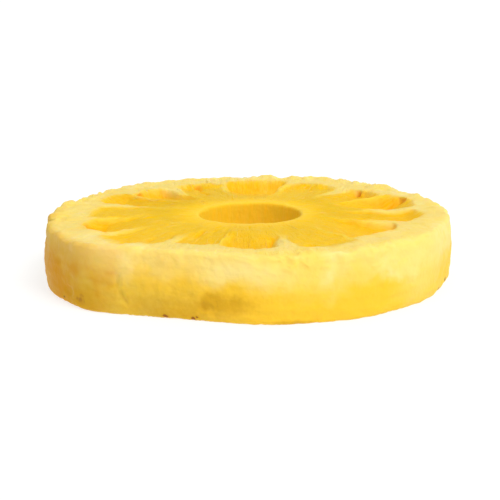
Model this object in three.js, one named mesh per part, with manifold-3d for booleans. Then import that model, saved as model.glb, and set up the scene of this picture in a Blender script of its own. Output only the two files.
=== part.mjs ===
// A ring of fresh pineapple: peeled with a knife, cored, and cut by hand from the fruit.
// Millimetres, +Z up. The ring lies flat with its underside on z = 0 and its core hole round the origin.
// Fifteen fruitlets sit round the core. The cut opens each one as a hollow that ends in an arch under
// the paler flesh of the rim, and thin walls stand between the hollows.
import * as THREE from "three";
import { mergeVertices } from "three/addons/utils/BufferGeometryUtils.js";
import Module from "manifold-3d";

// Driving sizes
const ringRadius = 49; // radius that every other share of the radius refers to
const holeRadius = 12.5;
const thickness = 15.5; // on the ring's axis
const wedge = 0.085; // share of rise per radius: the slice is thicker at one side
const wedgeTowards = -72; // degrees from +X, where the slice is thickest
const rimEdge = 1.0; // rounding where the rim meets the top
const footEdge = 1.0; // rounding where the rim meets the underside
const holeEdge = 0.8;
const rimBulge = 0.7;
const tornEdge = { tall: 1.0, wide: 0.6 }; // crags of the edge between rim and top

// The knife's cuts that peeled the fruit: direction that each faces in degrees, and distance from the axis
const peelCuts = [
  [-150, 51.8],
  [-107, 46.0],
  [-75, 48.7],
  [-45, 49.4],
  [-15, 48.7],
  [14, 48.1],
  [42, 48.2],
  [70, 49.3],
  [97, 47.4],
  [124, 49.0],
  [152, 48.0],
  [181, 49.4],
];
const cutRounding = 6; // how softly one cut runs into the next

// Fruitlets
const fruitlets = 15;
const hollowDepth = { least: 0.5, spread: 2.9 };
const archShare = { least: 0.81, spread: 0.09 }; // where a hollow ends, as a share of the radius
const innerShare = { least: 0.34, spread: 0.16 }; // where it starts
const archRise = 0.05; // how much further out the arch's crown is than its feet
const archStep = { least: 0.035, spread: 0.084 }; // length of the slope under the arch, as a share
const wallCrest = 0.15; // half the width of a wall where it starts
const wallFlare = 2.4; // most that it widens on its way out
const wallSlope = 1.1; // width of its side
const crease = 0.3; // how much shallower a hollow is at its walls than along its fold
const undersideShare = 0.3; // the underside's hollows against those of the top

// Seed pockets run outwards under the arches, and short clefts part the flesh half way out
const pocketSize = [3.0, 1.6, 2.6]; // half sizes along the radius, round the ring and up
const cleftSize = [4.4, 0.6, 1.8];

// Eyes left in the rim: direction in degrees and height, then depth, half width and half height
const eyeScars = [
  [-143, 3.6, 0.5, 2.4, 1.6],
  [-96, 3.4, 0.5, 2.6, 1.3],
  [21, 12.6, 1.9, 1.7, 1.9],
  [2, 5.0, 1.5, 2.2, 1.8],
  [47, 10.8, 2.2, 2.0, 2.3],
  [92, 5.6, 1.9, 1.7, 2.1],
  [131, 11.2, 1.6, 2.1, 2.0],
  [172, 8.4, 2.1, 1.8, 2.2],
];

// Mesh fineness
const columnsPerFruitlet = 8;
const topRows = [[26, 4], [46, 13]]; // radius that each group of rows reaches, and how many it has
const rows = { rimEdge: 3, rim: 4, footEdge: 2, underside: 6, holeEdge: 1, hole: 2 };

const turn = 2 * Math.PI;
const radians = THREE.MathUtils.degToRad;
const { smoothstep, lerp } = THREE.MathUtils;
// A value from 0 to 1 that differs from fruitlet to fruitlet
const vary = (fruitlet, step, start) => 0.5 + 0.5 * Math.sin(step * fruitlet + start);

// Fruitlets aren't evenly spaced: the direction of the fruitlet angle phi
const direction = (phi) =>
  phi + 0.1 * Math.sin(phi + 0.9) + 0.05 * Math.sin(3 * phi + 2.1) + 0.02 * Math.sin(7 * phi + 4);

// Walls lean a little to one side on their way out
const lean = (phi, share) => 0.12 * Math.sin(2 * phi + 0.5) * (share - 0.6);

// The peeled outline: the nearest of the knife's cuts, each run softly into the next
function peeledRadius(angle) {
  let radius = Infinity;
  for (const [faces, distance] of peelCuts) {
    const facing = Math.cos(angle - radians(faces));
    if (facing < 0.5) continue;
    const reach = distance / facing;
    const mix = Math.max(cutRounding - Math.abs(radius - reach), 0) / cutRounding;
    radius = Math.min(radius, reach) - (mix ** 3 * cutRounding) / 6;
  }
  return radius;
}

// Half the width of a wall, which widens differently from wall to wall
function wallHalf(wall, share) {
  const flare = Math.pow(smoothstep(share, 0.45, 0.95), 1.3) * lerp(0.05, 1, vary(wall, 3.7, 1.1) ** 2);
  return wallCrest + wallFlare * flare;
}

// Where the arch of a fruitlet is; across runs from -1 at one wall to 1 at the next
const crownOf = (fruitlet) => archShare.least + archShare.spread * vary(fruitlet, 4.1, 1.9);
const archOf = (fruitlet, across) => crownOf(fruitlet) - archRise * across * across;

// How deep the hollow of the fruitlet at phi is, share of the way out from the axis
function hollowAt(phi, share) {
  const along = ((phi / turn) * fruitlets + fruitlets) % fruitlets;
  const fruitlet = Math.floor(along);
  const across = 2 * (along - fruitlet) - 1;
  const depth = hollowDepth.least + hollowDepth.spread * vary(fruitlet, 2.4, 0.7);
  const arch = archOf(fruitlet, across);
  const inner = innerShare.least + innerShare.spread * vary(fruitlet, 5.7, 0.3);
  const step = archStep.least + archStep.spread * smoothstep(0.6 * Math.sin(2.2 * fruitlet + 1.4), -0.9, 0.9);
  const tilt = 1 + 0.35 * across * Math.sin(3.3 * fruitlet + 1);
  const fold = crease * Math.abs(across - 0.5 * Math.sin(4.4 * fruitlet + 0.2));
  const toWall = ((1 - Math.abs(across)) * Math.PI * ringRadius * share) / fruitlets;
  const crest = wallHalf(Math.floor(along + 0.5) % fruitlets, share);
  return (
    depth *
    (tilt - fold) *
    smoothstep(toWall, crest, crest + wallSlope) *
    (1 - smoothstep(share, arch - step, arch)) *
    Math.pow(smoothstep(share, inner, crownOf(fruitlet) - 0.04), 0.8)
  );
}

// Low unevenness of cut flesh, within plus and minus 1
const uneven = (x, y, z) =>
  0.5 * Math.sin(0.41 * x + 0.17 * y + 0.5 * z + 1) +
  0.3 * Math.sin(0.23 * x - 0.47 * y + 0.37 * z + 2.3) +
  0.2 * Math.sin(0.83 * x + 0.71 * y - 0.9 * z + 4.1);

// How torn the edge between rim and top is: rough in some stretches and smooth in others
function tornAt(phi, share, height) {
  const stretches = 0.65 * Math.sin(3 * phi + 4.92) + 0.35 * Math.sin(9 * phi + 1.88);
  const rough = lerp(0.15, 1, smoothstep(stretches, -0.2, 0.5));
  return rough * smoothstep(share, 0.86, 0.97) * smoothstep(height, 0.6, 0.92);
}

// The section of a plain ring, run from the hole's top edge out, down the rim and back underneath
function sectionPoints() {
  const [r0, r1, h] = [holeRadius, ringRadius, thickness];
  const corner = (x, y, size, from, to) =>
    new THREE.EllipseCurve(x, y, size, size, from, to, true);
  const line = (x0, y0, x1, y1) =>
    new THREE.LineCurve(new THREE.Vector2(x0, y0), new THREE.Vector2(x1, y1));
  const quarter = turn / 4;
  const starts = [r0 + holeEdge, ...topRows.map(([end]) => end)];
  const top = [...topRows, [r1 - rimEdge, 1]].map(([end, count], i) => [line(starts[i], h, end, h), count]);
  const pieces = [
    ...top,
    [corner(r1 - rimEdge, h - rimEdge, rimEdge, quarter, 0), rows.rimEdge],
    [line(r1, h - rimEdge, r1, footEdge), rows.rim],
    [corner(r1 - footEdge, footEdge, footEdge, 0, -quarter), rows.footEdge],
    [line(r1 - footEdge, 0, r0 + holeEdge, 0), rows.underside],
    [corner(r0 + holeEdge, holeEdge, holeEdge, -quarter, -2 * quarter), rows.holeEdge],
    [line(r0, holeEdge, r0, h - holeEdge), rows.hole],
    [corner(r0 + holeEdge, h - holeEdge, holeEdge, 2 * quarter, quarter), rows.holeEdge],
  ];
  const points = pieces.flatMap(([curve, count]) => curve.getPoints(count).slice(0, -1));
  return [...points, points[0].clone()].reverse(); // anticlockwise, so that the faces point out
}

function bareGeometry(geometry) {
  geometry.deleteAttribute("normal");
  geometry.deleteAttribute("uv");
  return mergeVertices(geometry, 1e-4);
}

// Moves one point of the plain ring to where it is on the real one
function shaped(x, y, z) {
  const phi = (Math.atan2(y, x) + turn) % turn;
  const plain = Math.hypot(x, y);
  const share = plain / ringRadius;
  const angle = direction(phi) + lean(phi, share);
  const outward = smoothstep(plain, holeRadius + 1, ringRadius);
  const stretch = lerp(1, peeledRadius(angle) / ringRadius, outward);
  const height = z / thickness;
  const bulge = rimBulge * Math.sin(Math.PI * height) * smoothstep(share, 0.9, 1);
  const torn = tornAt(phi, share, height);
  const crags = tornEdge.wide * torn * uneven(2.7 * y, 2.7 * x, 2 * z);
  const radius = plain * stretch + bulge + crags + 0.35 * uneven(x, y, 3 * z) * smoothstep(share, 0.94, 1);
  const [cx, cy] = [radius * Math.cos(angle), radius * Math.sin(angle)];
  const away = (cx * Math.cos(radians(wedgeTowards)) + cy * Math.sin(radians(wedgeTowards))) / ringRadius;
  const hollow = hollowAt(phi, share);
  const topShare = smoothstep(height, 0.5, 0.99);
  const underShare = 1 - smoothstep(height, 0.01, 0.3);
  const nicks = tornEdge.tall * torn * Math.min(uneven(3.1 * x, 3.1 * y, 3 * z), 0.25);
  const bumps = 0.22 * uneven(2 * x, 2 * y, 0) * topShare + nicks;
  const top = z * (1 + wedge * away) + bumps - hollow * topShare;
  return [cx, cy, top + undersideShare * hollow * underShare];
}

function ringGeometry() {
  const lathe = new THREE.LatheGeometry(sectionPoints(), fruitlets * columnsPerFruitlet);
  lathe.rotateX(turn / 4);
  const geometry = bareGeometry(lathe);
  const position = geometry.getAttribute("position");
  for (let i = 0; i < position.count; i++) {
    const [x, y] = [position.getX(i), position.getY(i)];
    const [evenPhi, plain] = [Math.atan2(y, x), Math.hypot(x, y)];
    // columns stand closer together at the walls between the fruitlets
    const phi = evenPhi - (0.45 * Math.sin(fruitlets * evenPhi)) / fruitlets;
    position.setXYZ(i, ...shaped(plain * Math.cos(phi), plain * Math.sin(phi), position.getZ(i)));
  }
  return geometry;
}

// A smooth pit round a point of the plain ring: a ball of half sizes along the radius, round the ring
// and up, moved out by the given amount
function pitAt(phi, plain, z, [deep, wide, tall], out, fineness) {
  const [x, y, height] = shaped(plain * Math.cos(phi), plain * Math.sin(phi), z);
  const ball = bareGeometry(new THREE.SphereGeometry(1, fineness, fineness - 2));
  ball.scale(deep, wide, tall);
  ball.translate(Math.hypot(x, y) + out, 0, height);
  ball.rotateZ(Math.atan2(y, x));
  return ball;
}

const everyFruitlet = Array.from({ length: fruitlets }, (_, fruitlet) => fruitlet);
const phiOf = (fruitlet, across) => ((fruitlet + 0.5 + across / 2) * turn) / fruitlets;

const seedPockets = () =>
  everyFruitlet
    .filter((fruitlet) => vary(fruitlet, 1.7, 0.4) > 0.46)
    .map((fruitlet) => {
      const across = lerp(-0.45, 0.45, vary(fruitlet, 5, 2));
      const share = archOf(fruitlet, across) - 0.07 + 0.02 * vary(fruitlet, 3.1, 0);
      return pitAt(phiOf(fruitlet, across), share * ringRadius, thickness, pocketSize, 0.9, 9);
    });

const clefts = () =>
  everyFruitlet
    .filter((fruitlet) => vary(fruitlet, 1.1, 2.6) > 0.5)
    .map((fruitlet) => {
      const across = lerp(-0.6, 0.6, vary(fruitlet, 2.9, 1.2));
      const share = 0.56 + 0.1 * vary(fruitlet, 4.7, 0.9);
      return pitAt(phiOf(fruitlet, across), share * ringRadius, thickness, cleftSize, 0, 7);
    });

const eyePits = () =>
  eyeScars.map(([at, height, deep, wide, tall]) =>
    pitAt(radians(at), ringRadius, height, [deep + 0.3, wide, tall], 0.3, 9),
  );

const wasm = await Module();
wasm.setup();

const solidOf = (geometry) =>
  new wasm.Manifold(
    new wasm.Mesh({
      numProp: 3,
      vertProperties: geometry.getAttribute("position").array,
      triVerts: new Uint32Array(geometry.index.array),
    }),
  );

// Cuts the pits out of the ring
function cutGeometry() {
  let solid = solidOf(ringGeometry());
  for (const pit of [...seedPockets(), ...clefts(), ...eyePits()]) solid = solid.subtract(solidOf(pit));
  const mesh = solid.getMesh();
  const geometry = new THREE.BufferGeometry();
  geometry.setAttribute("position", new THREE.BufferAttribute(mesh.vertProperties, 3));
  geometry.setIndex(new THREE.BufferAttribute(mesh.triVerts, 1));
  geometry.computeVertexNormals();
  return geometry;
}

const flesh = new THREE.MeshStandardMaterial({ color: 0xf9cf52, roughness: 0.45, metalness: 0 });
const ring = new THREE.Mesh(cutGeometry(), flesh);
ring.name = "pineapple_ring";

const pineappleRing = new THREE.Group();
pineappleRing.add(ring);

export default pineappleRing;
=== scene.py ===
# A peeled, cored slice of fresh pineapple lying on a pale table, in metres
import math
from types import SimpleNamespace

import bpy
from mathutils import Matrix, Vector


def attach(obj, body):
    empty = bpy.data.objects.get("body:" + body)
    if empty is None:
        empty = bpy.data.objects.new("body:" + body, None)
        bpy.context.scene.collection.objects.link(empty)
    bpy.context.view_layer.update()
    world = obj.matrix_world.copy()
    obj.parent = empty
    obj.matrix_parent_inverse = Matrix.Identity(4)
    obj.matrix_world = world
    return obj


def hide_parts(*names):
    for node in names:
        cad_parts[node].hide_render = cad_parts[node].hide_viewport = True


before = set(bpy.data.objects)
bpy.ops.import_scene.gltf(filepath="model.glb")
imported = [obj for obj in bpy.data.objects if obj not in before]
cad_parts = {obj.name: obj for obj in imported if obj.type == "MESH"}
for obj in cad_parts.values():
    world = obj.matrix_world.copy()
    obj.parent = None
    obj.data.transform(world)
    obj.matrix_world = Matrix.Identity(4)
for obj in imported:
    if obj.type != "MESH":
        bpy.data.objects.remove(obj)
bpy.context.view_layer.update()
degree = math.pi / 180
turn = 2 * math.pi
mm = 0.001


# node trees written as formulas: nodeValue is a number in a tree, treeMaker the tree it stands in


class nodeValue:
    # calculating with it adds the nodes that do the same

    def __init__(self, maker, socket):
        self.maker = maker
        self.socket = socket

    def __add__(self, other):
        return self.maker.math("ADD", self, other)

    def __sub__(self, other):
        return self.maker.math("SUBTRACT", self, other)

    def __mul__(self, other):
        return self.maker.math("MULTIPLY", self, other)

    def __truediv__(self, other):
        return self.maker.math("DIVIDE", self, other)

    def __rsub__(self, other):
        return self.maker.math("SUBTRACT", other, self)

    def __rtruediv__(self, other):
        return self.maker.math("DIVIDE", other, self)

    __radd__ = __add__
    __rmul__ = __mul__


def total(values):
    summed = values[0]
    for value in values[1:]:
        summed = summed + value
    return summed


class treeMaker:
    # node() adds one node and feeds its sockets in order

    def __init__(self, tree):
        self.tree = tree

    def node(self, kind, *fed, **settings):
        made = self.tree.nodes.new(kind)
        for key, setting in settings.items():
            setattr(made, key, setting)
        for place, given in enumerate(fed):
            if given is not None:
                self.feed(given, made.inputs[place])
        return made

    def feed(self, given, socket):
        if isinstance(given, nodeValue):
            given = given.socket
        if isinstance(given, bpy.types.NodeSocket):
            self.tree.links.new(given, socket)
        else:
            socket.default_value = given

    def math(self, operation, *fed):
        return nodeValue(self, self.node("ShaderNodeMath", *fed, operation=operation).outputs[0])

    def sin(self, angle):
        return self.math("SINE", angle)

    def cos(self, angle):
        return self.math("COSINE", angle)

    def wave(self, angle, times, start):
        # from -1 to 1, times swings to a turn
        return self.sin(angle * times + start)

    def waves(self, angle, table):
        # a wave for each row of the table: swings, start and height
        return [self.wave(angle, times, start) * height for times, start, height in table]

    def rise(self, value, low, high):
        # 0 below low, 1 above high and smooth between
        made = self.node("ShaderNodeMapRange", value, low, high, interpolation_type="SMOOTHSTEP")
        return nodeValue(self, made.outputs[0])

    def hump(self, value, start, full, fade, end):
        return self.rise(value, start, full) * (1.0 - self.rise(value, fade, end))

    def distance(self, *steps):
        return self.math("SQRT", total([step * step for step in steps]))

    def vector(self, x, y, z):
        return self.node("ShaderNodeCombineXYZ", x, y, z).outputs[0]

    def split(self, vector):
        return [nodeValue(self, part) for part in self.node("ShaderNodeSeparateXYZ", vector).outputs]

    def noise(self, where, fineness, detail=2.0, roughness=0.5):
        # from -1 to 1
        made = self.node("ShaderNodeTexNoise")
        self.feed(where, made.inputs["Vector"])
        for label, given in (("Scale", fineness), ("Detail", detail), ("Roughness", roughness)):
            self.feed(given, made.inputs[label])
        return nodeValue(self, made.outputs[0]) * 2.0 - 1.0


class geometryTree(treeMaker):
    # geometry in, geometry out, and a named input for each of its sizes

    def __init__(self, name, sizes):
        super().__init__(bpy.data.node_groups.new(name, "GeometryNodeTree"))
        self.sizes = sizes
        face = self.tree.interface
        face.new_socket("Geometry", in_out="OUTPUT", socket_type="NodeSocketGeometry")
        face.new_socket("Geometry", in_out="INPUT", socket_type="NodeSocketGeometry")
        for label in sizes:
            face.new_socket(label, in_out="INPUT", socket_type="NodeSocketFloat")
        self.source = self.node("NodeGroupInput")

    def size(self, label):
        return nodeValue(self, self.source.outputs[label])

    def store(self, geometry, label, value, kind="FLOAT"):
        made = self.node("GeometryNodeStoreNamedAttribute", data_type=kind, domain="POINT")
        made.inputs["Name"].default_value = label
        self.feed(geometry, made.inputs["Geometry"])
        self.feed(value, made.inputs["Value"])
        return made.outputs[0]

    def closeWith(self, geometry, material):
        whole = self.node("GeometryNodeRealizeInstances", geometry)
        painted = self.node("GeometryNodeSetMaterial", whole.outputs[0])
        painted.inputs["Material"].default_value = bpy.data.materials[material]
        self.node("NodeGroupOutput", painted.outputs[0])
        return self


def applyTrees(name, mesh, *trees):
    # runs a mesh through the trees in turn and leaves it plain
    thing = bpy.data.objects.new(name, mesh)
    bpy.context.scene.collection.objects.link(thing)
    for maker in trees:
        modifier = thing.modifiers.new(maker.tree.name, "NODES")
        modifier.node_group = maker.tree
        for item in maker.tree.interface.items_tree:
            if item.item_type == "SOCKET" and item.in_out == "INPUT" and item.name in maker.sizes:
                modifier[item.identifier] = float(maker.sizes[item.name])
    graph = bpy.context.evaluated_depsgraph_get()
    made = bpy.data.meshes.new_from_object(thing.evaluated_get(graph), depsgraph=graph)
    thing.modifiers.clear()
    thing.data = made
    made.shade_smooth()
    return thing


# the plain ring that the flesh is shaped from

plain = {
    "radius": 49 * mm,
    "hole": 12.5 * mm,
    "thickness": 15.5 * mm,
    "topEdge": 1.0 * mm,   # rounding where the rim meets the top
    "footEdge": 1.0 * mm,
    "holeEdge": 0.8 * mm,
    "columns": 540,        # round the ring, 36 to a fruitlet
    "gather": 0.45,        # how much closer columns stand at the walls between the fruitlets
    "topRows": [(26 * mm, 22), (36 * mm, 28), (45 * mm, 42)],   # fine where the hollows end
    "rows": {"lastOnTop": 7, "topEdge": 9, "rim": 39, "footEdge": 4, "under": 18, "holeEdge": 3, "hole": 9},
}


def sectionOfPlainRing():
    # radius and height of each row: out from the hole, down the rim and back underneath
    r0, r1, h, rows = plain["hole"], plain["radius"], plain["thickness"], plain["rows"]
    top, foot, hole = plain["topEdge"], plain["footEdge"], plain["holeEdge"]
    points = []

    def line(x0, y0, x1, y1, count):
        for step in range(count):
            t = step / count
            points.append((x0 + (x1 - x0) * t, y0 + (y1 - y0) * t))

    def corner(x, y, size, start, count):
        for step in range(count):
            angle = (start - 90 * step / count) * degree
            points.append((x + size * math.cos(angle), y + size * math.sin(angle)))

    begin = r0 + hole
    for end, count in [*plain["topRows"], (r1 - top, rows["lastOnTop"])]:
        line(begin, h, end, h, count)
        begin = end
    corner(r1 - top, h - top, top, 90, rows["topEdge"])
    line(r1, h - top, r1, foot, rows["rim"])
    corner(r1 - foot, foot, foot, 0, rows["footEdge"])
    line(r1 - foot, 0, r0 + hole, 0, rows["under"])
    corner(r0 + hole, hole, hole, -90, rows["holeEdge"])
    line(r0, hole, r0, h - hole, rows["hole"])
    corner(r0 + hole, h - hole, hole, 180, rows["holeEdge"])
    return points


def plainRingMesh():
    section, columns = sectionOfPlainRing(), plain["columns"]
    rows = len(section)
    corners = []
    for column in range(columns):
        along = column / columns * fruit["Fruitlets"]
        angle = turn * (along - plain["gather"] * math.sin(turn * along) / turn) / fruit["Fruitlets"]
        corners += [(r * math.cos(angle), r * math.sin(angle), z) for r, z in section]
    faces = []
    for column in range(columns):
        here, beyond = column * rows, (column + 1) % columns * rows
        for row in range(rows):
            up = (row + 1) % rows
            faces.append((here + row, here + up, beyond + up, beyond + row))
    mesh = bpy.data.meshes.new("plainRing")
    mesh.from_pydata(corners, [], faces)
    return mesh


# what the fruit and the knife make of it

fruit = {
    "Fruitlets": 15,
    "Wedge": 0.085,             # the slice is thicker at one side
    "Wedge Towards": -72 * degree,
    "Rim Bulge": 0.7 * mm,
    "Cut Rounding": 6 * mm,
    "Wander": 1.0 * mm,         # how far walls and arches stray from their rule
    "Hollow Least": 0.5 * mm,   # depth
    "Hollow Spread": 2.9 * mm,
    "Hollow Tilt": 0.35,
    "Crease": 0.3,              # how far a hollow rises on both sides of its deepest line
    "Hollow Fibres": 0.1,
    "Arch Least": 0.81,         # where a hollow ends, as a share of the radius
    "Arch Spread": 0.09,
    "Arch Rise": 0.05,
    "Arch Step": 0.035,
    "Arch Undercut": 0.5 * mm,
    "Inner Least": 0.34,        # where a hollow starts
    "Inner Spread": 0.16,
    "Wall Crest": 0.15 * mm,    # half the width of a wall where it starts
    "Wall Flare": 2.4 * mm,     # most that it widens on its way out to the pale flesh
    "Wall Slope": 1.1 * mm,
    "Wall Dip": 0.8 * mm,       # most that a wall's crest sinks
    "Underside Share": 0.3,     # relief of the underside against that of the top
    "Pocket Half Width": 1.6 * mm,
    "Pocket Half Length": 3.0 * mm,
    "Pocket Depth": 2.6 * mm,
    "Pocket Push": 1.8 * mm,    # pockets reach outwards under the pale flesh
    "Cleft Half Width": 0.75 * mm,
    "Cleft Depth": 1.8 * mm,
    "Slit Depth": 0.8 * mm,     # short partings along the fibres
    "Swell Height": 0.35 * mm,  # broad unevenness, then finer and finer
    "Lump Height": 0.3 * mm,
    "Grit Height": 0.14 * mm,
    "Fibre Height": 0.26 * mm,
    "Crack Depth": 0.7 * mm,
    "Edge Height": 2.3 * mm,    # crags of the edge between top and rim
    "Edge Least": 0.45,         # how rough its smoothest stretch is
    "Edge Crest": 0.2,          # crags rise no further than this, and notches go deeper
    "Edge Sideways": 0.6,
    "Knife Marks": 2300.0,      # radians for each metre of height
    "Knife Mark Height": 0.035 * mm,
}

# where things start and are at their full, as shares of the thickness and then of the radius
zones = {
    "top": (0.5, 0.99), "offUnderside": (0.01, 0.3), "tornUp": (0.6, 0.92),
    "rim": (0.94, 1.0), "bulge": (0.9, 1.0), "flare": (0.45, 0.95),
    "tornOut": (0.86, 0.97), "offSlits": (0.9, 0.97),
}

# noises of the flesh: swings for each metre, how many finer ones ride on it, and how strong those are
unevenness = {
    "swell": (95.0, 1.0), "lumps": (300.0, 1.0), "grit": (560.0, 1.0),
    "stray": (130.0, 2.0), "strayToo": (170.0, 2.0),
    "fibres": (32.0, 1.0, 0.6), "slits": (25.0, 1.0),     # these two run along the fibres
    "nicks": (190.0, 3.0, 0.6), "nicksToo": (230.0, 3.0, 0.6),
}

# what differs from fruitlet to fruitlet: step and start of the wave that each value is read from.
# A pocket or cleft is there where its value is over the pair in hasPocket or hasCleft.
draws = {
    "depth": (2.4, 0.7), "crown": (4.1, 1.9), "inner": (5.7, 0.3), "tilt": (3.3, 1.0), "crease": (4.4, 0.2),
    "archStep": (2.2, 1.4), "wallWidth": (3.7, 1.1),
    "pocket": (1.7, 0.4), "pocketAcross": (5.0, 2.0), "pocketOut": (3.1, 0.0),
    "cleft": (1.1, 2.6), "cleftAcross": (2.9, 1.2), "cleftStart": (4.7, 0.9),
}
hasPocket, hasCleft = (0.42, 0.5), (0.45, 0.55)
pocketInwards = 0.07           # from the arch, as a share of the radius
cleftFrom, cleftLength = 0.46, 0.2

# waves round the ring: swings to a turn, start and height
directionWaves = [(1, 0.9, 0.1), (3, 2.1, 0.05), (7, 4, 0.02)]
leanWave = (2, 0.5, 0.12)
tornWaves = [(3, 4.92, 0.65), (9, 1.88, 0.35)]

# the knife's cuts that peeled it: the way each faces in degrees, and millimetres from the axis
peelCuts = [
    (-150, 51.8), (-107, 46.0), (-75, 48.7), (-45, 49.4), (-15, 48.7), (14, 48.1),
    (42, 48.2), (70, 49.3), (97, 47.4), (124, 49.0), (152, 48.0), (181, 49.4),
]

# eyes left in the rim: direction in degrees, then height, half width, half height and depth in millimetres
eyeScars = [
    (-143, 3.6, 2.4, 1.6, 0.5), (-96, 3.4, 2.6, 1.3, 0.5),
    (21, 12.6, 1.7, 1.9, 1.9), (2, 5.0, 2.2, 1.8, 1.5), (47, 10.8, 2.0, 2.3, 2.2),
    (92, 5.6, 1.7, 2.1, 1.9), (131, 11.2, 2.1, 2.0, 1.6), (172, 8.4, 1.8, 2.2, 2.1),
]

# stains low on the rim, the broadest and the line along the foot painted shade where it meets the table:
# direction, then height, half width and half height in millimetres, and strength
rimStainsAndFootShade = [
    (-91, 4.9, 9.5, 3.6, 0.7), (-110, 1.6, 28.0, 6.5, 0.65), (-139, 2.6, 7.5, 4.6, 0.85),
    (-113, 0.6, 1.5, 0.6, 1.25), (-101, 0.5, 1.1, 0.6, 1.4), (-99.5, 1.0, 0.7, 0.4, 1.2),
    (-146, 1.4, 1.0, 0.6, 1.2), (-19.6, 1.4, 1.0, 0.8, 1.8), (-26.5, 0.9, 1.1, 0.7, 1.5),
    (-72, 0.2, 8.0, 1.3, 0.75), (38, 2.0, 4.0, 2.0, 0.5), (118, 1.6, 2.2, 1.0, 0.9),
]

# whitish and golden patches on the rim, given like the stains; the whitish ones partly paler flesh, partly
# painted highlight
rimPatches = {
    "whitishAndHighlight": [(-85.7, 11.8, 13.0, 3.0, 0.5), (-36, 6.0, 8.0, 7.0, 0.33)],
    "golden": [(-106.5, 8.6, 12.0, 6.2, 0.5), (-71.3, 6.0, 13.0, 4.0, 0.75), (-55.4, 10.0, 7.0, 5.0, 0.45)],
}

# a thin crack in the rim, bent like a bracket
rimCrack = {
    "direction": 234.5 * degree,
    "bendFrom": 2 * mm,    # height from which its bend is counted
    "bendRate": 260.0,     # radians for each metre of height
    "bend": 0.045,         # in radians round the ring
    "halfWide": (0.05 * mm, 0.5 * mm),
    "heights": (1.5 * mm, 4 * mm, 9 * mm, 12.5 * mm),   # where it starts, is full, fades and ends
}


class fruitTree(geometryTree):
    # a value of one fruitlet, from its number

    def swing(self, number, label):
        # from -1 to 1
        return self.wave(number, *draws[label])

    def vary(self, number, label):
        # from 0 to 1
        return self.swing(number, label) * 0.5 + 0.5


def placeOnRing(t):
    # where a point lies on the plain ring, how uneven the flesh is there, and which surface it is on
    position = t.node("GeometryNodeInputPosition").outputs[0]
    x, y, z = t.split(position)
    reach = t.distance(x, y)
    share = reach / plain["radius"]
    height = z / plain["thickness"]
    return SimpleNamespace(
        position=position, x=x, y=y, z=z, reach=reach, share=share, height=height,
        phi=t.math("FLOORED_MODULO", t.math("ARCTAN2", y, x), turn),
        swell=t.noise(position, *unevenness["swell"]),
        lumps=t.noise(position, *unevenness["lumps"]),
        grit=t.noise(position, *unevenness["grit"]),
        onTop=t.rise(height, *zones["top"]),
        under=1.0 - t.rise(height, *zones["offUnderside"]),
        nearRim=t.rise(share, *zones["rim"]),
        offHole=t.rise(reach, plain["hole"], plain["hole"] + 2 * mm),
    )


def leaningAngle(t, here):
    # fruitlets aren't evenly spaced, and their walls lean on the way out
    times, start, height = leanWave
    direction = total([here.phi] + t.waves(here.phi, directionWaves))
    return direction + t.wave(here.phi, times, start) * height * (here.share - 0.6)


def outlineOfCuts(t, angle):
    # the nearest of the knife's cuts, each run softly into the next
    outline = None
    for faces, away in peelCuts:
        cut = away * mm / t.math("MAXIMUM", t.cos(angle - faces * degree), 0.5)
        outline = cut if outline is None else t.math("SMOOTH_MIN", outline, cut, t.size("Cut Rounding"))
    return outline


def fruitletAt(t, here):
    # the fruitlet that a point lies in: across runs from -1 at one wall to 1 at the next
    stray = t.noise(here.position, *unevenness["stray"]) * t.size("Wander") * 2.0
    strayToo = t.noise(t.vector(here.y, here.z, here.x), *unevenness["strayToo"]) * t.size("Wander") * 1.6
    strayAngle = stray / t.math("MAXIMUM", here.reach, plain["hole"])
    count = t.size("Fruitlets")
    along = (here.phi + strayAngle) / turn * count
    cell = t.math("FLOOR", along + 1e-5)     # a column that stands on a wall falls on one side of it
    # spoke hardly changes on the way out, so a noise that reads it runs along the fibres
    bent = here.phi + strayAngle * 0.6
    spoke = t.vector(t.cos(bent), t.sin(bent), (here.share - here.z / plain["radius"]) * 0.25)
    return SimpleNamespace(
        number=t.math("FLOORED_MODULO", cell, count),
        wall=t.math("FLOORED_MODULO", t.math("FLOOR", along + 0.5), count),
        across=(along - cell) * 2.0 - 1.0,
        halfWide=here.reach * math.pi / count,
        out=here.share + strayToo / plain["radius"],
        spoke=spoke,
        fibres=t.noise(spoke, *unevenness["fibres"]),
        slits=t.rise(t.noise(spoke, *unevenness["slits"]), 0.36, 0.6),
    )


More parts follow.
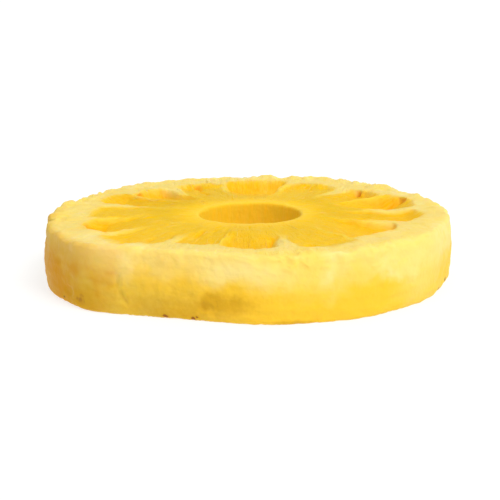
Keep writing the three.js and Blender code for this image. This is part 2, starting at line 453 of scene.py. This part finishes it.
def hollowOf(t, here, fruitlet):
    # it opens out from the core, between two walls, and ends in an arch under the pale flesh
    size, number, across = t.size, fruitlet.number, fruitlet.across
    depth = size("Hollow Least") + size("Hollow Spread") * t.vary(number, "depth")
    crown = size("Arch Least") + size("Arch Spread") * t.vary(number, "crown")
    inner = size("Inner Least") + size("Inner Spread") * t.vary(number, "inner")
    arch = crown - size("Arch Rise") * across * across
    soften = t.rise(here.swell + t.swing(number, "archStep") * 0.6, -0.9, 0.9) * 2.4 + 1.0
    inArch = 1.0 - t.rise(fruitlet.out, arch - size("Arch Step") * soften, arch)
    fromCore = t.math("POWER", t.rise(fruitlet.out, inner, crown - 0.04), 0.8)

    broad = t.vary(fruitlet.wall, "wallWidth")
    flare = t.math("POWER", t.rise(here.share, *zones["flare"]), 1.3) * (broad * broad * 0.95 + 0.05)
    crest = size("Wall Crest") + size("Wall Flare") * flare
    wallGap = (1.0 - t.math("ABSOLUTE", across)) * fruitlet.halfWide
    offWall = t.rise(wallGap, crest, crest + size("Wall Slope"))
    onWall = 1.0 - offWall

    tilt = across * t.swing(number, "tilt") * size("Hollow Tilt") + 1.0
    crease = t.math("ABSOLUTE", across - t.swing(number, "crease") * 0.5) * size("Crease")
    opened = offWall * inArch * fromCore
    deep = depth * (tilt - crease) * opened * (fruitlet.fibres * size("Hollow Fibres") + 1.0)
    dip = onWall * inArch * fromCore * t.rise(here.swell, -0.35, 0.45) * size("Wall Dip")

    # under the arch the flesh is opened further out than at the surface
    archGap = (arch - fruitlet.out) * plain["radius"]
    undercut = t.hump(archGap, 0.0, 1.5 * mm, 2.0 * mm, 6.0 * mm) * offWall * here.onTop
    undercut = undercut * size("Arch Undercut") * t.rise(depth, 0.9 * mm, 2.6 * mm)
    return SimpleNamespace(
        arch=arch, deep=deep, dip=dip, undercut=undercut, openedDepth=opened * depth * tilt,
        crest=onWall * inArch * fromCore, broad=onWall * t.rise(flare, 0.0, 0.35),
    )


def pocketOf(t, here, fruitlet, arch):
    # seed pockets run outwards from some hollows, under the paler flesh
    number = fruitlet.number
    middle = t.vary(number, "pocketAcross") * 0.9 - 0.45
    outward = arch - pocketInwards + t.vary(number, "pocketOut") * 0.02
    gap = t.distance(
        (fruitlet.across - middle) * fruitlet.halfWide / t.size("Pocket Half Width"),
        (fruitlet.out - outward) * plain["radius"] / t.size("Pocket Half Length"),
    )
    hasOne = t.rise(t.vary(number, "pocket"), *hasPocket)
    return (1.0 - t.rise(gap, 0.4, 1.0)) * hasOne * here.onTop


def cleftOf(t, here, fruitlet):
    # short clefts part the flesh of some fruitlets half way out
    number = fruitlet.number
    middle = t.vary(number, "cleftAcross") * 1.2 - 0.6
    gap = t.math("ABSOLUTE", (fruitlet.across - middle) * fruitlet.halfWide + fruitlet.fibres * 0.3 * mm)
    line = 1.0 - t.rise(gap, 0.1 * mm, t.size("Cleft Half Width"))
    start = t.vary(number, "cleftStart") * 0.1 + cleftFrom
    hasOne = t.rise(t.vary(number, "cleft"), *hasCleft)
    ends = t.hump(fruitlet.out, start, start + 0.05, start + 0.08, start + cleftLength)
    return line * ends * hasOne * here.onTop


def fromPlace(t, here, direction, height, halfWide, halfTall):
    # distance on the rim from a place, 1 at the edge of an ellipse round it
    sideways = t.math("WRAP", here.phi - direction * degree, math.pi, -math.pi) * plain["radius"]
    return t.distance(sideways / (halfWide * mm), (here.z - height * mm) / (halfTall * mm))


def rimOf(t, here):
    # the rim's eyes are pits with a low lip
    gaps = [(fromPlace(t, here, *scar[:4]), scar[4] * mm) for scar in eyeScars]
    pits = total([(1.0 - t.rise(gap + here.lumps * 0.12, 0.45, 1.05)) * deep for gap, deep in gaps])
    lips = total([t.hump(gap + here.lumps * 0.2, 0.8, 1.15, 1.15, 1.9) * deep * deep for gap, deep in gaps])

    bend = t.sin((here.z - rimCrack["bendFrom"]) * rimCrack["bendRate"]) * rimCrack["bend"]
    crackAt = here.phi - rimCrack["direction"] + bend
    crackGap = t.math("ABSOLUTE", crackAt) * plain["radius"] + here.lumps * 0.2 * mm
    crack = (1.0 - t.rise(crackGap, *rimCrack["halfWide"])) * t.hump(here.z, *rimCrack["heights"])

    knife = t.sin(here.z * t.size("Knife Marks") + here.swell * 3.0 + here.phi * 5.0)
    blur = here.lumps * 0.25 + here.swell * 0.2 + here.grit * 0.1
    # stains with painted shade along the foot, whitish patches that are partly painted highlight, and
    # golden patches
    stainsAndFootShade, whitishAndHighlight, golden = [
        total([(1.0 - t.rise(fromPlace(t, here, *one[:4]) + blur, 0.0, 1.2)) * one[4] for one in places])
        for places in (rimStainsAndFootShade, rimPatches["whitishAndHighlight"], rimPatches["golden"])
    ]
    return SimpleNamespace(
        pits=pits, lips=lips * (0.05 / mm), crack=crack, knife=knife,
        stainsAndFootShade=stainsAndFootShade, whitishAndHighlight=whitishAndHighlight, golden=golden,
    )


def tornEdge(t, here):
    # the edge between top and rim is torn, in some stretches more than in others: upwards, and sideways
    least = t.size("Edge Least")
    edge = t.rise(here.share, *zones["tornOut"]) * t.rise(here.height, *zones["tornUp"])
    edge = edge * (t.rise(total(t.waves(here.phi, tornWaves)), -0.2, 0.5) * (1.0 - least) + least)
    nicks = t.math("MINIMUM", t.noise(here.position, *unevenness["nicks"]), t.size("Edge Crest"))
    nicksToo = t.noise(t.vector(here.z, here.x, here.y), *unevenness["nicksToo"])
    upwards = nicks * edge * t.size("Edge Height")
    return upwards, nicksToo * edge * t.size("Edge Height") * t.size("Edge Sideways")


def fleshTree(name, material):
    # moves every point of the plain ring, or of what is laid on it, to its place in the fruit
    t = fruitTree(name, fruit)
    size = t.size
    here = placeOnRing(t)
    angle = leaningAngle(t, here)
    fruitlet = fruitletAt(t, here)
    hollow = hollowOf(t, here, fruitlet)
    pocket = pocketOf(t, here, fruitlet, hollow.arch)
    cleft = cleftOf(t, here, fruitlet)
    rim = rimOf(t, here)
    tornUp, tornOut = tornEdge(t, here)
    slits = fruitlet.slits * here.onTop * here.offHole * (1.0 - t.rise(here.share, *zones["offSlits"]))
    swell, lumps = here.swell * size("Swell Height"), here.lumps * size("Lump Height")

    stretch = outlineOfCuts(t, angle) / plain["radius"] - 1.0
    stretch = stretch * t.rise(here.reach, plain["hole"] + 1 * mm, plain["radius"]) + 1.0
    bulge = size("Rim Bulge") * t.sin(here.height * math.pi) * t.rise(here.share, *zones["bulge"])
    knife = rim.knife * size("Knife Mark Height")
    rimWork = swell + lumps + knife + rim.lips - rim.pits - rim.crack * size("Crack Depth")
    holeWork = (here.swell * 0.5 + here.lumps * 0.5) * size("Swell Height") * (1.0 - here.offHole)
    reach = total([
        here.reach * stretch, bulge, rimWork * here.nearRim, holeWork, tornOut,
        hollow.undercut, pocket * size("Pocket Push"),
    ])
    x, y = reach * t.cos(angle), reach * t.sin(angle)

    towards = size("Wedge Towards")
    away = (x * t.cos(towards) + y * t.sin(towards)) / plain["radius"]
    fine = (here.grit * size("Grit Height") + fruitlet.fibres * size("Fibre Height")) * here.offHole
    rough = total([swell, lumps * 0.5, fine, slits * size("Slit Depth") * -1.0])
    upward = (hollow.deep * size("Underside Share") + t.math("ABSOLUTE", rough)) * here.under
    z = total([
        here.z * (away * size("Wedge") + 1.0), rough * here.onTop, tornUp,
        (hollow.deep + hollow.dip) * here.onTop * -1.0,
        pocket * size("Pocket Depth") * -1.0, cleft * size("Cleft Depth") * -1.0, upward,
    ])

    # what the finish reads
    # painted shade in the recesses: the deeper the pockets, clefts, crack and slits, the darker
    recessShade = (pocket * 1.6 + cleft * 1.3 + rim.crack * here.nearRim + slits * 0.5) * mm
    keep = t.source.outputs["Geometry"]
    for label, value in (
        ("pale", t.rise(fruitlet.out, hollow.arch - 0.06, hollow.arch + 0.04)),
        # depth of the hollows and pockets, read for the painted shade deep in them
        ("opened", (hollow.openedDepth + pocket * mm) / (3.4 * mm)),
        ("shadeInRecesses", (rim.pits * here.nearRim * 0.5 + recessShade) / (2 * mm)),
        ("crest", hollow.crest),
        ("broad", hollow.broad),
        # stains and specks, and painted shade where the rim meets the table
        ("stainAndFootShade", rim.stainsAndFootShade * here.nearRim),
        # whitish patches, partly paler flesh and partly painted highlight on the upper rim
        ("whitishAndHighlight", rim.whitishAndHighlight * here.nearRim),
        ("golden", rim.golden * here.nearRim),
        ("rimSide", here.nearRim),
    ):
        keep = t.store(keep, label, value)
    keep = t.store(keep, "grain", fruitlet.spoke, "FLOAT_VECTOR")
    placed = t.node("GeometryNodeSetPosition")
    t.feed(keep, placed.inputs["Geometry"])
    t.feed(t.vector(x, y, z), placed.inputs["Position"])
    return t.closeWith(placed.outputs[0], material)


# loose fibres, laid on the plain ring before it is shaped

strands = {
    "Count": 120,
    "Shortest": 2 * mm,
    "Longest": 6 * mm,
    "Thick": 0.16 * mm,
    "Wobble": 0.9 * mm,
    "Nearest": 18 * mm,      # to the axis
    "Furthest": 44 * mm,
    "Slant": 0.16,           # most that one turns from straight outwards, in radians
    "Sunk": 0.11 * mm,       # most that one lies in the flesh
    "Seed": 4,
}
strandSteps, strandSides = 14, 5     # points along a fibre and round it
wobbleFineness = 260.0


class scatterTree(geometryTree):
    # puts one small thing at many places on the plain ring

    def random(self, low, high, seed):
        made = self.node("FunctionNodeRandomValue", data_type="FLOAT")
        for given, place in ((low, 2), (high, 3), (self.size("Seed") + seed, 8)):
            self.feed(given, made.inputs[place])
        return nodeValue(self, made.outputs[1])

    def scatter(self, thing, phi, reach, z, heading, scale):
        points = self.node("GeometryNodePoints", self.size("Count"))
        points.inputs["Position"].default_value = (0, 0, 0)
        self.feed(self.vector(reach * self.cos(phi), reach * self.sin(phi), z), points.inputs["Position"])
        heading = self.node("FunctionNodeEulerToRotation", self.vector(0.0, 0.0, heading))
        spread = self.node("GeometryNodeInstanceOnPoints", points.outputs[0])
        for given, label in ((thing, "Instance"), (heading.outputs[0], "Rotation"), (scale, "Scale")):
            self.feed(given, spread.inputs[label])
        whole = self.node("GeometryNodeRealizeInstances", spread.outputs[0])
        position = self.node("GeometryNodeInputPosition").outputs[0]
        x, y, z = self.split(position)
        sideways = self.noise(position, wobbleFineness, 1.0) * self.size("Wobble")
        upwards = self.noise(self.vector(y, z, x), wobbleFineness, 1.0) * self.size("Wobble") * 0.25
        bent = self.node("GeometryNodeSetPosition", whole.outputs[0])
        self.feed(self.vector(sideways, sideways * -0.7, upwards), bent.inputs["Offset"])
        return self.closeWith(self.store(bent.outputs[0], "loose", 1.0), "looseFlesh")


def strandTree():
    t = scatterTree("strandsOnFace", strands)
    path = t.node("GeometryNodeCurvePrimitiveLine")
    path.inputs["Start"].default_value = (-0.5, 0, 0)
    path.inputs["End"].default_value = (0.5, 0, 0)
    path = t.node("GeometryNodeResampleCurve", path.outputs[0])
    path.inputs["Count"].default_value = strandSteps
    bead = t.node("GeometryNodeCurvePrimitiveCircle")
    bead.inputs["Resolution"].default_value = strandSides
    bead.inputs["Radius"].default_value = 1.0
    along = nodeValue(t, t.node("GeometryNodeSplineParameter").outputs["Factor"])
    taper = t.math("POWER", t.sin((along * 0.94 + 0.03) * math.pi), 0.6)
    tube = t.node("GeometryNodeCurveToMesh", path.outputs[0], bead.outputs[0], taper)
    tube.inputs["Fill Caps"].default_value = True
    phi = t.random(0.0, turn, 0)
    reach = t.random(t.size("Nearest"), t.size("Furthest"), 1)
    length = t.random(t.size("Shortest"), t.size("Longest"), 2)
    thick = t.random(0.5, 1.2, 3) * t.size("Thick")
    heading = phi + t.random(t.size("Slant") * -1.0, t.size("Slant"), 5)
    lying = t.random(t.size("Sunk") * -1.0, 0.0, 6) + plain["thickness"]
    return t.scatter(tube.outputs[0], phi, reach, lying, heading, t.vector(length, thick, thick))


# the finish of the flesh, colours as linear red, green and blue

finish = {
    "pale": (0.97, 0.70, 0.19),
    # milky: uneven paler flesh, and the painted highlights of the whitish patches
    "milky": (1.0, 0.79, 0.33),
    # olive: olive tone, and painted shade low at the rim's left end
    "oliveAndFootShade": (0.66, 0.48, 0.085),
    # rimGold: gold low on the rim, painted shade of its lower part, and the golden patches
    "rimGold": (0.94, 0.585, 0.04),
    # rimAmberAndShade: riper tone and painted shade of the rim's left end
    "rimAmberAndShade": (0.67, 0.305, 0.01),
    "golden": (0.96, 0.53, 0.006),
    # deep: deeper gold, painted shade where the hollows are deep, on their uneven tone
    "deep": (0.92, 0.475, 0.005),
    "crest": (0.97, 0.65, 0.07),
    # stain: stains, and painted shade low on the rim where it meets the table
    "stainAndFootShade": (0.66, 0.36, 0.012),
    "speck": (0.36, 0.13, 0.02),
    # pit: painted shade in pits and recesses, and the browner tone of the hole wall
    "pit": (0.73, 0.51, 0.025),
    "roughness": 0.46,
    "roughnessVaries": (0.1, 0.06),      # with the speckle and with the mottle
    "gloss": 0.08,
    "bendOfLight": 1.36,
    "subsurface": 0.6,
    "bleed": 1.0 * mm,              # how far light spreads inside the flesh
    "bleedOfColours": (1.0, 0.75, 0.15),
    "grainHeight": 0.22 * mm,
    "goldShadeUpTo": (6.8 * mm, 12.0 * mm),   # heights between which the rim turns from gold, painted shade of its lower part, to pale
    "oliveAndShadeTowards": -165 * degree,  # the side of the rim that is tinged with olive, and with painted shade low down near the table
    "amberTowards": -158 * degree,  # and the one where it is amber, partly riper tone and partly painted shade of that end
    "amberFrom": (0.87, 1.03),      # share of the way to that side, and beyond it
    "amberFades": (8 * mm, 16 * mm),
    "oliveAndShadeFrom": (0.05, 0.85),
}

# how far each colour covers what is under it, where it is at its full. amberLost is taken off high up.
# the pits strength sets the painted shade in recesses; the stain, olive and amber ones carry painted shade
# too, at the foot and the rim's left end
strengths = {
    "roundHole": 0.45, "yellowish": 0.6, "milky": 0.75, "oliveAndFootShade": 0.7, "threads": 0.26, "bands": 0.26,
    "mottle": 0.1, "looseFibres": 0.45, "stainAndFootShade": 0.75, "pits": 0.55, "amberLost": 0.6,
}

# noises of the finish, as those of the flesh: on places, then along the fibres
patterns = {
    "mottle": (120.0, 3.0), "speckle": (1000.0, 1.0), "patches": (55.0, 2.0), "blotches": (85.0, 3.0, 0.6),
    "smears": (120.0, 1.0), "cored": (900.0, 1.0),
    "streaks": (46.0, 2.0, 0.6), "bands": (13.0, 2.0), "threads": (72.0, 2.0, 0.55),
}
sacFineness = 46.0


class finishTree(treeMaker):
    # reads what the shape stored, and mixes colours

    def attribute(self, label, output="Fac"):
        return self.node("ShaderNodeAttribute", attribute_name=label).outputs[output]

    def read(self, label):
        return nodeValue(self, self.attribute(label))

    def pattern(self, where, label):
        return self.noise(where, *patterns[label])

    def mixed(self, factor, one, other):
        made = self.node("ShaderNodeMix", data_type="RGBA")
        for given, socket in ((factor, 0), (one, 6), (other, 7)):
            self.feed((*given, 1) if isinstance(given, tuple) else given, made.inputs[socket])
        return made.outputs[2]


def fleshSurface(m):
    # where a point is, and the patterns there
    place = m.node("ShaderNodeTexCoord").outputs["Object"]
    grain = m.attribute("grain", "Vector")
    x, y, height = m.split(place)
    fromHole = m.distance(x, y) - plain["hole"]
    facing = m.split(m.node("ShaderNodeNewGeometry").outputs["Normal"])[2]
    flat = m.rise(m.math("ABSOLUTE", facing), 0.45, 0.9)
    fade = m.rise(fromHole, 1 * mm, 10 * mm) * (flat * 0.8 + 0.2)    # fibres show best on the flat cut
    threads = 1.0 - m.math("ABSOLUTE", m.pattern(grain, "threads")) * 3.0
    rimSide = m.read("rimSide")
    return SimpleNamespace(
        x=x, y=y, height=height, fromHole=fromHole, flat=flat, fade=fade, grain=grain,
        rimSide=rimSide, onFace=1.0 - rimSide,
        mottle=m.pattern(place, "mottle"),
        speckle=m.pattern(place, "speckle"),
        patches=m.pattern(place, "patches"),
        blotches=m.pattern(place, "blotches"),
        streaks=m.pattern(grain, "streaks") * fade,
        bands=m.pattern(grain, "bands"),
        threads=m.rise(threads, 0.25, 1.0),      # thin bright lines along the fibres
    )


def colourOfHollows(m, here):
    # deep gold where a hollow is deep, painted shade of the hollows on an uneven tone; lighter on the walls
    # and round the hole, browner in the hole
    hollowShadeAndTone = m.rise(m.read("opened") + here.mottle * 0.2 + here.streaks * 0.25 + here.bands * 0.4, 0.0, 0.9)
    colour = m.mixed(hollowShadeAndTone, finish["golden"], finish["deep"])
    colour = m.mixed(m.attribute("crest"), colour, finish["crest"])
    nearHole = 1.0 - m.rise(here.fromHole + here.bands * 2.0 * mm, 0.0, 5 * mm)
    colour = m.mixed(nearHole * here.flat * strengths["roundHole"], colour, finish["crest"])
    inHole = (1.0 - m.rise(here.fromHole, 0.0, 0.7 * mm)) * (1.0 - here.flat)
    cored = m.pattern(m.vector(here.x * 1.5, here.y * 1.5, here.height * 0.3), "cored") * 0.3 + 0.5
    colour = m.mixed(inHole * cored, colour, finish["pit"])
    return m.mixed(m.attribute("broad"), colour, finish["pale"])


def leansTo(here, towards):
    # 1 on the side of the rim that a direction points to, -1 across from it, a little uneven
    return (here.x * math.cos(towards) + here.y * math.sin(towards)) / plain["radius"] + here.patches * 0.2


def colourOfPaleFlesh(m, here):
    # pale, with milky patches and painted highlights; gold low on the rim is painted shade, olive and amber
    # at its left end partly so
    height, patches, blotches = here.height, here.patches, here.blotches
    yellowish = m.rise(patches + here.mottle * 0.4, -0.1, 0.9) * strengths["yellowish"]
    colour = m.mixed(yellowish, finish["pale"], finish["crest"])
    colour = m.mixed(m.rise(blotches, 0.0, 0.45) * strengths["milky"], colour, finish["milky"])
    # gold low on the rim: painted shade, the rim lighter towards its top where the light falls
    uneven = height + (here.mottle * 6.0 + patches * 4.0) * mm
    low = (1.0 - m.rise(uneven, *finish["goldShadeUpTo"])) * here.rimSide
    colour = m.mixed(low, colour, finish["rimGold"])
    colour = m.mixed(m.read("golden"), colour, finish["rimGold"])
    # whitish patches in the milky colour: partly paler flesh, partly painted highlight on the upper rim
    colour = m.mixed(m.read("whitishAndHighlight"), colour, finish["milky"])
    # olive tone and painted shade at the rim's left end, stronger nearer the table
    oliveAndFootShade = leansTo(here, finish["oliveAndShadeTowards"]) - blotches * 0.5 - height * 30.0
    oliveAndFootShade = m.rise(oliveAndFootShade, *finish["oliveAndShadeFrom"])
    colour = m.mixed(oliveAndFootShade * here.rimSide * strengths["oliveAndFootShade"], colour, finish["oliveAndFootShade"])
    # amber at the left end: partly riper tone, partly painted shade of that end
    amberAndShade = m.rise(leansTo(here, finish["amberTowards"]) + blotches * 0.2, *finish["amberFrom"])
    amberAndShade = amberAndShade * (1.0 - m.rise(height, *finish["amberFades"]) * strengths["amberLost"])
    return m.mixed(amberAndShade * here.rimSide, colour, finish["rimAmberAndShade"])


def colourOfFlesh(m, here):
    # both, run into each other at the arches, with threads, stains and specks over them, and painted shade
    # at the foot and in pits and recesses
    fuzzy = (here.streaks * 0.3 + here.bands * 0.4 + here.mottle * 0.25) * here.onFace
    inside, outside = colourOfHollows(m, here), colourOfPaleFlesh(m, here)
    colour = m.mixed(m.rise(m.read("pale") + fuzzy, 0.0, 1.0), inside, outside)
    bands = m.rise(here.bands + here.streaks * 0.3, 0.1, 0.8) * strengths["bands"]
    mottle = m.rise(here.mottle, 0.1, 0.8) * strengths["mottle"]
    paler = (here.threads * strengths["threads"] + bands) * here.onFace + mottle
    colour = m.mixed(paler, colour, finish["crest"])
    colour = m.mixed(m.read("loose") * strengths["looseFibres"], colour, finish["pale"])
    # stains and specks, and painted shade along the foot
    stainedAndFootShaded = m.read("stainAndFootShade") + here.speckle * 0.2
    colour = m.mixed(m.rise(stainedAndFootShaded, 0.05, 0.9) * strengths["stainAndFootShade"], colour, finish["stainAndFootShade"])
    colour = m.mixed(m.rise(stainedAndFootShaded, 0.9, 1.3), colour, finish["speck"])
    # painted shade in eye pits, pockets, clefts, the crack and slits
    return m.mixed(m.rise(m.read("shadeInRecesses"), 0.1, 1.2) * strengths["pits"], colour, finish["pit"])


def reliefOfFlesh(m, here):
    # fibres and juice sacs on the face, smears of the knife on the rim
    sacs = m.node("ShaderNodeTexVoronoi", feature="SMOOTH_F1")
    m.feed(here.grain, sacs.inputs["Vector"])
    sacs.inputs["Scale"].default_value = sacFineness
    sacs = nodeValue(m, sacs.outputs["Distance"])
    smears = m.pattern(m.vector(here.x, here.y, here.height * 4.0), "smears")
    grown = (here.streaks * 0.5 + here.threads * 0.4 + sacs * 0.7) * here.onFace * here.fade
    relief = m.node("ShaderNodeBump")
    m.feed(here.speckle * 0.3 + grown + smears * 0.6 * here.rimSide, relief.inputs["Height"])
    relief.inputs["Distance"].default_value = finish["grainHeight"]
    return relief.outputs[0]


def fleshMaterial(name, subsurface):
    material = bpy.data.materials.new(name)
    material.use_nodes = True
    shader = material.node_tree.nodes["Principled BSDF"]
    m = finishTree(material.node_tree)
    here = fleshSurface(m)
    m.feed(colourOfFlesh(m, here), shader.inputs["Base Color"])
    m.feed(reliefOfFlesh(m, here), shader.inputs["Normal"])
    bySpeckle, byMottle = finish["roughnessVaries"]
    roughness = here.speckle * bySpeckle + here.mottle * byMottle + finish["roughness"]
    m.feed(roughness, shader.inputs["Roughness"])
    shader.inputs["IOR"].default_value = finish["bendOfLight"]
    shader.inputs["Specular IOR Level"].default_value = finish["gloss"]
    shader.inputs["Subsurface Weight"].default_value = subsurface
    shader.inputs["Subsurface Radius"].default_value = finish["bleedOfColours"]
    shader.inputs["Subsurface Scale"].default_value = finish["bleed"]


def addTo(piece):
    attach(piece, "root")
    print(piece.name + ":", len(piece.data.polygons), "faces")


fleshMaterial("fruitFlesh", finish["subsurface"])
fleshMaterial("looseFlesh", 0.0)     # too thin for light to spread in
print("finish: ready")
ring = applyTrees("pineappleRing", plainRingMesh(), fleshTree("fleshOfRing", "fruitFlesh"))
addTo(ring)
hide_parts("pineapple_ring")
shape = fleshTree("fleshUnderLoose", "looseFlesh")
addTo(applyTrees("looseFibres", bpy.data.meshes.new("noMesh"), strandTree(), shape))


# table, light and camera

studio = {
    "elevation": 14.0,     # of the camera above the table, in degrees
    "distance": 0.62,
    "lens": 180.0,
    "aimHeight": 6 * mm,
    "room": 0.58,
    "roomColour": (1, 0.998, 0.992),
    "key": 2.05,
    "keySoftness": 32.0,   # width of the lamp as seen from the table, in degrees
    "keyFrom": (0.48, -0.58, 1.05),
    "tableRadius": 6,
    "tableColour": (0.27, 0.27, 0.268),
    "tableGlow": 0.75,
    "glowColour": (1, 1, 0.995),
    "tableRoughness": 0.7,
    "tableGloss": 0.2,
}


def setTheTable():
    bpy.ops.mesh.primitive_circle_add(vertices=96, radius=studio["tableRadius"], fill_type="NGON")
    table = bpy.context.object
    table.name = "tableTop"
    material = bpy.data.materials.new("paleTable")
    material.use_nodes = True
    shader = material.node_tree.nodes["Principled BSDF"]
    shader.inputs["Base Color"].default_value = (*studio["tableColour"], 1)
    shader.inputs["Roughness"].default_value = studio["tableRoughness"]
    shader.inputs["Specular IOR Level"].default_value = studio["tableGloss"]
    shader.inputs["Emission Color"].default_value = (*studio["glowColour"], 1)
    shader.inputs["Emission Strength"].default_value = studio["tableGlow"]
    table.data.materials.append(material)


def lightTheRing():
    world = bpy.data.worlds.new("studioRoom")
    bpy.context.scene.world = world
    world.use_nodes = True
    background = world.node_tree.nodes["Background"]
    background.inputs["Color"].default_value = (*studio["roomColour"], 1)
    background.inputs["Strength"].default_value = studio["room"]
    lamp = bpy.data.lights.new("keyLamp", "SUN")
    lamp.energy = studio["key"]
    lamp.angle = studio["keySoftness"] * degree
    key = bpy.data.objects.new("keyLamp", lamp)
    bpy.context.scene.collection.objects.link(key)
    key.rotation_euler = Vector(studio["keyFrom"]).to_track_quat("Z", "Y").to_euler()


def aimTheCamera():
    lens = bpy.data.cameras.new("camera")
    lens.lens = studio["lens"]
    camera = bpy.data.objects.new("camera", lens)
    bpy.context.scene.collection.objects.link(camera)
    tilt = studio["elevation"] * degree
    back = Vector((0, -math.cos(tilt), math.sin(tilt)))
    camera.location = Vector((0, 0, studio["aimHeight"])) + back * studio["distance"]
    camera.rotation_euler = back.to_track_quat("Z", "Y").to_euler()
    bpy.context.scene.camera = camera


setTheTable()
lightTheRing()
aimTheCamera()
bpy.context.scene.view_settings.view_transform = "Standard"
print("table, light and camera: ready")
